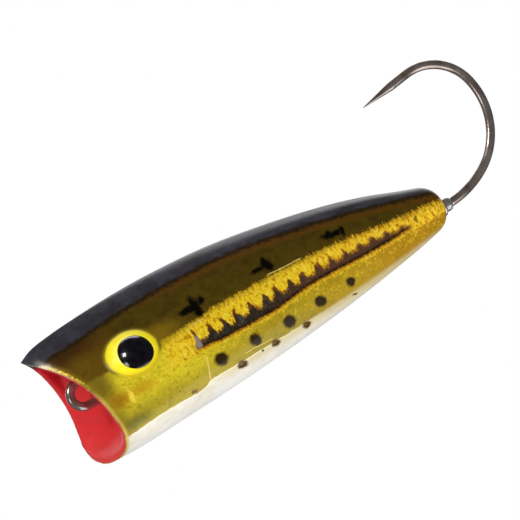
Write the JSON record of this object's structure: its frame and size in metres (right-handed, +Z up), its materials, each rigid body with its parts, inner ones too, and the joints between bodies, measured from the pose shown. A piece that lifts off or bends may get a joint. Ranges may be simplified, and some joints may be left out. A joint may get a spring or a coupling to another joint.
{
  "type": "topwater popper",
  "caption": "Cup-mouthed topwater fishing lure with a gold foil baitfish body, domed eyes and an upturned barbless hook through its axis.",
  "frame": {"origin": "centre of the line-tie ring, the hook's eye that stands in the mouth", "axes": "+X from the mouth to the tail along the shank, +Y to the lure's right flank, +Z up to the back"},
  "size_m": [0.0731, 0.0188, 0.0261],
  "materials": {
    "shell_plastic": "moulded ABS, pearl white where it shows",
    "foil_print": "printed gold foil film under a glossy clear coat",
    "cup_red": "satin red plastic",
    "eye_yellow": "glossy yellow lacquer",
    "pupil_black": "high gloss black",
    "black_nickel": "polished black nickel plate",
    "bright_plate": "bright tin plate",
    "brass_tube": "drawn tube",
    "ballast_metal": "cast, dull",
    "ball_steel": "bearing steel"
  },
  "bodies": {
    "lure": {"left_shell": "shell_plastic", "right_shell": "shell_plastic", "left_skin": "foil_print", "right_skin": "foil_print", "mouth_cup": "cup_red", "left_eye": "eye_yellow", "right_eye": "eye_yellow", "left_pupil": "pupil_black", "right_pupil": "pupil_black", "hook": "black_nickel", "shank_tube": "brass_tube", "tail_washer": "bright_plate", "crimp_collar": "bright_plate", "tail_weight": "ballast_metal"},
    "knocker": {"knocker_ball": "ball_steel"},
    "rattle_1": {"rattle_ball_1": "ball_steel"},
    "rattle_2": {"rattle_ball_2": "ball_steel"},
    "rattle_3": {"rattle_ball_3": "ball_steel"}
  },
  "joints": [
    {"name": "knocker_roll", "type": "slide", "parent": "lure", "child": "knocker", "axis": [1, 0, 0], "range_m": [0, 0.0056]},
    {"name": "rattle_roll_1", "type": "slide", "parent": "lure", "child": "rattle_1", "axis": [1, 0, 0], "range_m": [0, 0.0022]},
    {"name": "rattle_roll_2", "type": "slide", "parent": "lure", "child": "rattle_2", "axis": [1, 0, 0], "range_m": [0, 0.0022]},
    {"name": "rattle_roll_3", "type": "slide", "parent": "lure", "child": "rattle_3", "axis": [1, 0, 0], "range_m": [0, 0.0022]}
  ],
  "couplings": [
    {"joint": "rattle_roll_2", "follows": "rattle_roll_1", "ratio": 1},
    {"joint": "rattle_roll_3", "follows": "rattle_roll_1", "ratio": 1}
  ]
}
